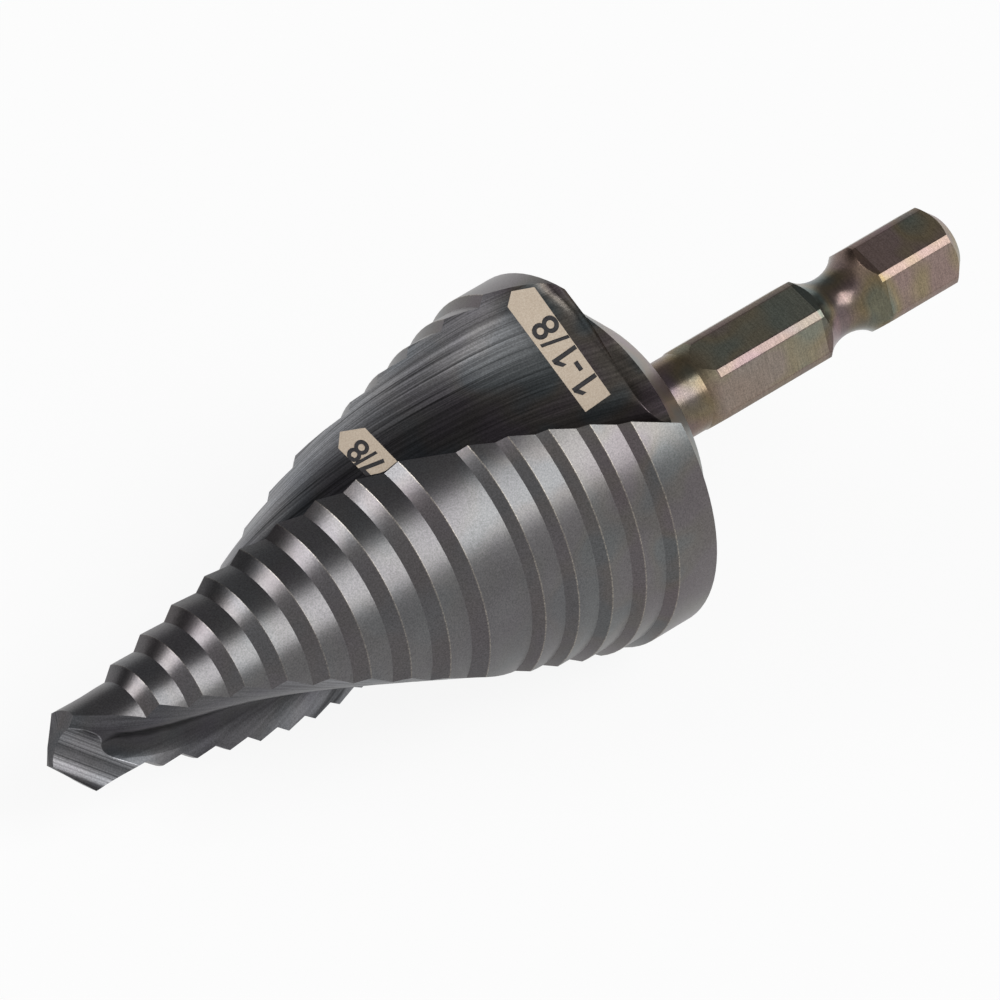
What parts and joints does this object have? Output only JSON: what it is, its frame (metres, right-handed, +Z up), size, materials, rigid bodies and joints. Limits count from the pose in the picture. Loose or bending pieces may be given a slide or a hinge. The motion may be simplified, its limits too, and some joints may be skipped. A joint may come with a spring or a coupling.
{
  "type": "step drill",
  "caption": "Cone-shaped step drill with spiral flutes, a split drill point and a hexagonal quick-change shank, lying on its side.",
  "frame": {"origin": "centre of the bounding box at its lowest point, on the surface that the drill lies on", "axes": "+X level along the drill from the point to the shank, +Z up, +Y to the left of that direction"},
  "size_m": [0.084, 0.0286, 0.0269],
  "materials": {
    "ground_steel": "ground tool steel with a thin dark coating, heat tint on the shank"
  },
  "bodies": {
    "root": {"step_drill": "ground_steel"}
  },
  "joints": []
}
